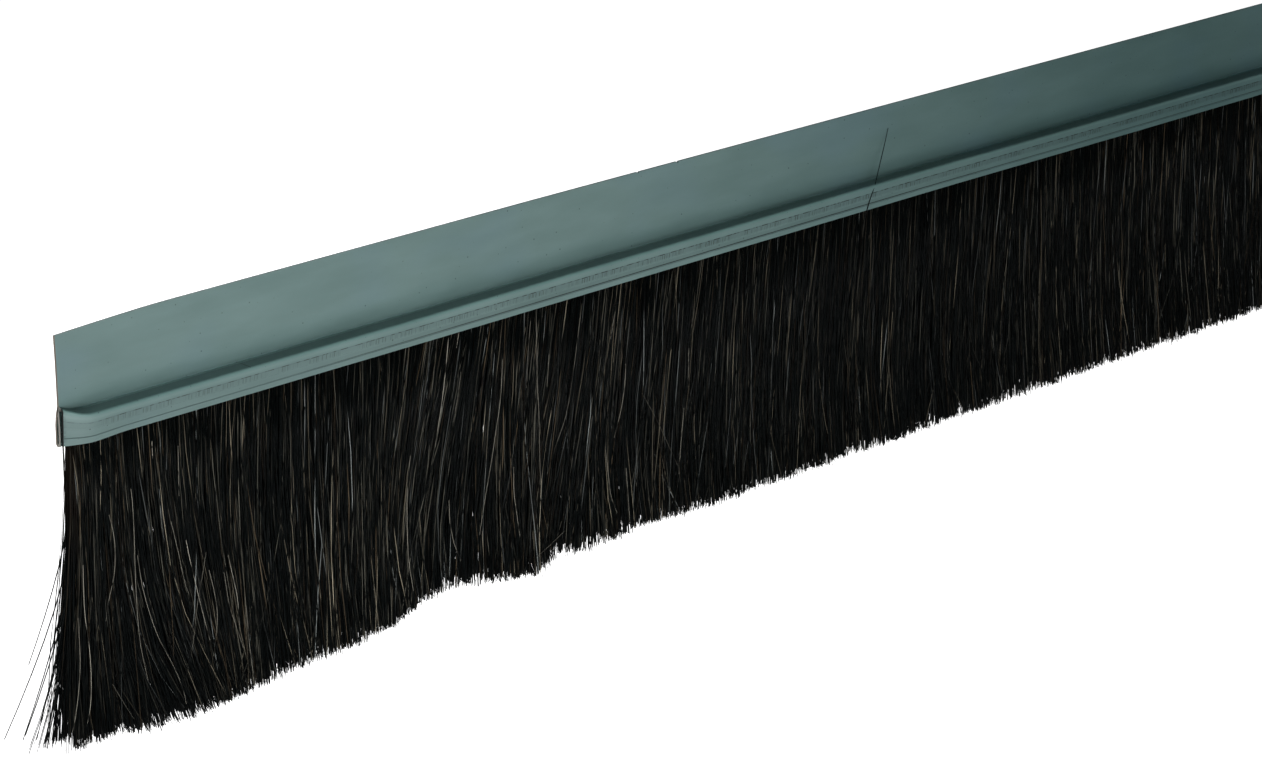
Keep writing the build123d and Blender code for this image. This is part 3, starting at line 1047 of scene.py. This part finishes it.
# dark and light are the ends of one look, gaps is how much of a hair's length stays dark, runs is how often it
# changes, least is the light of its darkest hairs, steep is how few of them are light, and lowDark is how much
# darker they are low down near the cut. The light runs along a hair are painted glints and the dark stretches
# between them painted shade where it passes under other hairs; the tan, grey and pale hairs are also lighter
# of their own colour
hairLooks = {
    "inner": {"dark": (0.0028, 0.0036, 0.0036), "light": (0.006, 0.006, 0.005), "gaps": 0.5, "least": 0,
              "runs": 5, "steep": 6, "lowDark": 0.5},
    "black": {"dark": (0.0038, 0.0052, 0.0053), "light": (0.15, 0.145, 0.118), "gaps": 0.51, "least": 0,
              "runs": 5, "steep": 8, "lowDark": 0.72},
    "brown": {"dark": (0.0045, 0.004, 0.0036), "light": (0.16, 0.122, 0.078), "gaps": 0.5, "least": 0.05,
              "runs": 4, "steep": 5, "lowDark": 0.72},
    "tan": {"dark": (0.0045, 0.0044, 0.0036), "light": (0.52, 0.46, 0.34), "gaps": 0.52, "least": 0.25,
            "runs": 3, "steep": 5, "lowDark": 0.72},
    "grey": {"dark": (0.0045, 0.005, 0.005), "light": (0.47, 0.51, 0.5), "gaps": 0.52, "least": 0.25,
             "runs": 3, "steep": 5, "lowDark": 0.72},
    "pale": {"dark": (0.02, 0.019, 0.016), "light": (0.36, 0.34, 0.285), "gaps": 0.38, "least": 0.06,
             "runs": 4, "steep": 1.2, "lowDark": 0},
}


brownAtTheCut = (0.022, 0.0115, 0.006)
# how bright the hair is along the strip, in mm from the near end; the first step is painted shade where less
# light falls further along
hairShades = {
    "steps": [(130, 120, -0.55), (280, 60, 1.1)],  # from, over, by how much
    "lowDark": (50, 30),  # up to, over
    "lightLow": (35, 85, 20, 1.3),  # from, to, soft edge, by how much
    "darkStretch": (115, 160, 30, 0.4),
    "cut": (3.5, 3),  # brown up to, over
}


def hairMaterial(name):
    look = hairLooks[name]
    c = hairShades
    s = Shader("hair_" + name)
    tone = s.attribute("hairTone")
    along = s.attribute("hairAlong")
    place = s.node("CombineXYZ", None, X=tone * 900, Y=along * look["runs"])
    # painted glints and painted shade along each hair
    streak = s.node("TexNoise", {"noise_dimensions": "2D"}, Vector=place, Scale=1.0, Detail=1.0)
    least = look["least"]
    bright = ((streak - look["gaps"]) * 6 + 0.4).clamped() * (least + tone ** look["steep"] * (1 - least))
    fromEnd = (s.place()[1][0] - nearEnd) / mm
    # painted shade on the hairs from 130 mm on, and lighter again from 280 mm on
    for start, over, change in c["steps"]:
        bright = bright * (1 + fromEnd.rise(start, 1 / over) * change)
    end, over = c["lowDark"]
    bright = bright * (1 - fromEnd.rise(end, -1 / over) * along.rise(0.5, 4) * look["lowDark"])
    start, end, soft, change = c["lightLow"]
    bright = bright * (1 + fromEnd.between(start, end, soft) * along.rise(0.15, 1.6) * change)
    start, end, soft, change = c["darkStretch"]
    bright = bright * (1 - fromEnd.between(start, end, soft) * change)
    colour = s.mix(bright, look["dark"], look["light"])
    # the hair at the cut is brown high up
    end, over = c["cut"]
    atTheCut = fromEnd.rise(end, -1 / over) * along.rise(0.42, -4)
    colour = s.mix(atTheCut * (1 - tone * 0.5) * 0.5, colour, brownAtTheCut)
    surface = s.node("BsdfPrincipled", None, Base_Color=colour, Roughness=0.32, Specular_IOR_Level=0.05)
    return s.finish(surface)


def wireMaterial():
    s = Shader("wire_steel")
    drawn = s.noise(s.place()[0], (40, 6000, 6000), 2)
    surface = s.node("BsdfPrincipled", None, Base_Color=linear(165, 168, 170), Metallic=1.0,
                     Roughness=0.3 + drawn * 0.2)
    return s.finish(surface)


def dress(piece, material):
    piece.data.materials.clear()
    piece.data.materials.append(material)


dress(carrierPiece, carrierMaterial())
for look, pieces in hairPieces.items():
    material = hairMaterial(look)
    for piece in pieces:
        dress(piece, material)
dress(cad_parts["core_wire"], wireMaterial())
print("materials made")

# Floor, lamps and world
studio = {
    "floorDrop": 250 * mm,
    "floorSize": 12.0,
    "ambient": 0.05,
}
# each lamp: place, point that it faces, size, power, and spread in degrees
lamps = {
    "key": ((nearEnd + 0.02, -0.44, -0.035), (nearEnd + 0.06, 0, -0.03), 0.20, 1.18, 180),
    "from_below": ((nearEnd + 0.06, -0.34, -0.30), (nearEnd + 0.08, 0, 0), 0.30, 0.92, 180),
    "end": ((nearEnd - 0.40, -0.10, 0.06), (nearEnd, 0, -0.01), 0.12, 0.12, 60),
    "far_front": ((nearEnd + 0.80, -0.50, 0.06), (nearEnd + 0.80, 0, -0.03), 0.25, 0.95, 75),
    "behind": ((0, 0.9, 0.25), (0, 0, -0.03), 0.9, 6.0, 180),
}


def makeLamp(name):
    place, target, size, power, spread = lamps[name]
    bpy.ops.object.light_add(type="AREA", location=place)
    lamp = bpy.context.object
    lamp.name = name
    lamp.data.size = size
    lamp.data.energy = power
    lamp.data.spread = math.radians(spread)
    lamp.rotation_euler = (Vector(target) - Vector(place)).to_track_quat("-Z", "Y").to_euler()


def makeStudio():
    c = studio
    deselectAll()
    low = bristleLow.z - c["floorDrop"]
    bpy.ops.mesh.primitive_grid_add(x_subdivisions=8, y_subdivisions=8, size=c["floorSize"],
                                    location=(0, 0, low))
    floor = startPiece("floor")
    s = Shader("floor_paper")
    seen = s.node("LightPath")  # 1 for what the camera sees
    lit = s.node("BsdfPrincipled", None, Base_Color=(0.8, 0.8, 0.8), Roughness=0.9)
    glow = s.node("Emission", None, Color=(1, 1, 1), Strength=seen)
    both = s.tree.nodes.new("ShaderNodeAddShader")
    s.tree.links.new(lit.socket, both.inputs[0])
    s.tree.links.new(glow.socket, both.inputs[1])
    dress(floor, s.finish(Sock(s.tree, both.outputs[0])))
    for name in lamps:
        makeLamp(name)
    world = bpy.data.worlds.new("studio")
    bpy.context.scene.world = world
    world.use_nodes = True
    tree = world.node_tree
    tree.nodes.clear()
    path = tree.nodes.new("ShaderNodeLightPath")
    output = tree.nodes.new("ShaderNodeOutputWorld")
    back = tree.nodes.new("ShaderNodeBackground")
    back.inputs[0].default_value = (1, 1, 1, 1)
    strength = Sock(tree, path.outputs["Is Camera Ray"]) * (1 - c["ambient"]) + c["ambient"]
    tree.links.new(strength.socket, back.inputs[1])
    tree.links.new(back.outputs[0], output.inputs[0])
    bpy.context.scene.view_settings.view_transform = "Standard"


makeStudio()
print("studio made")
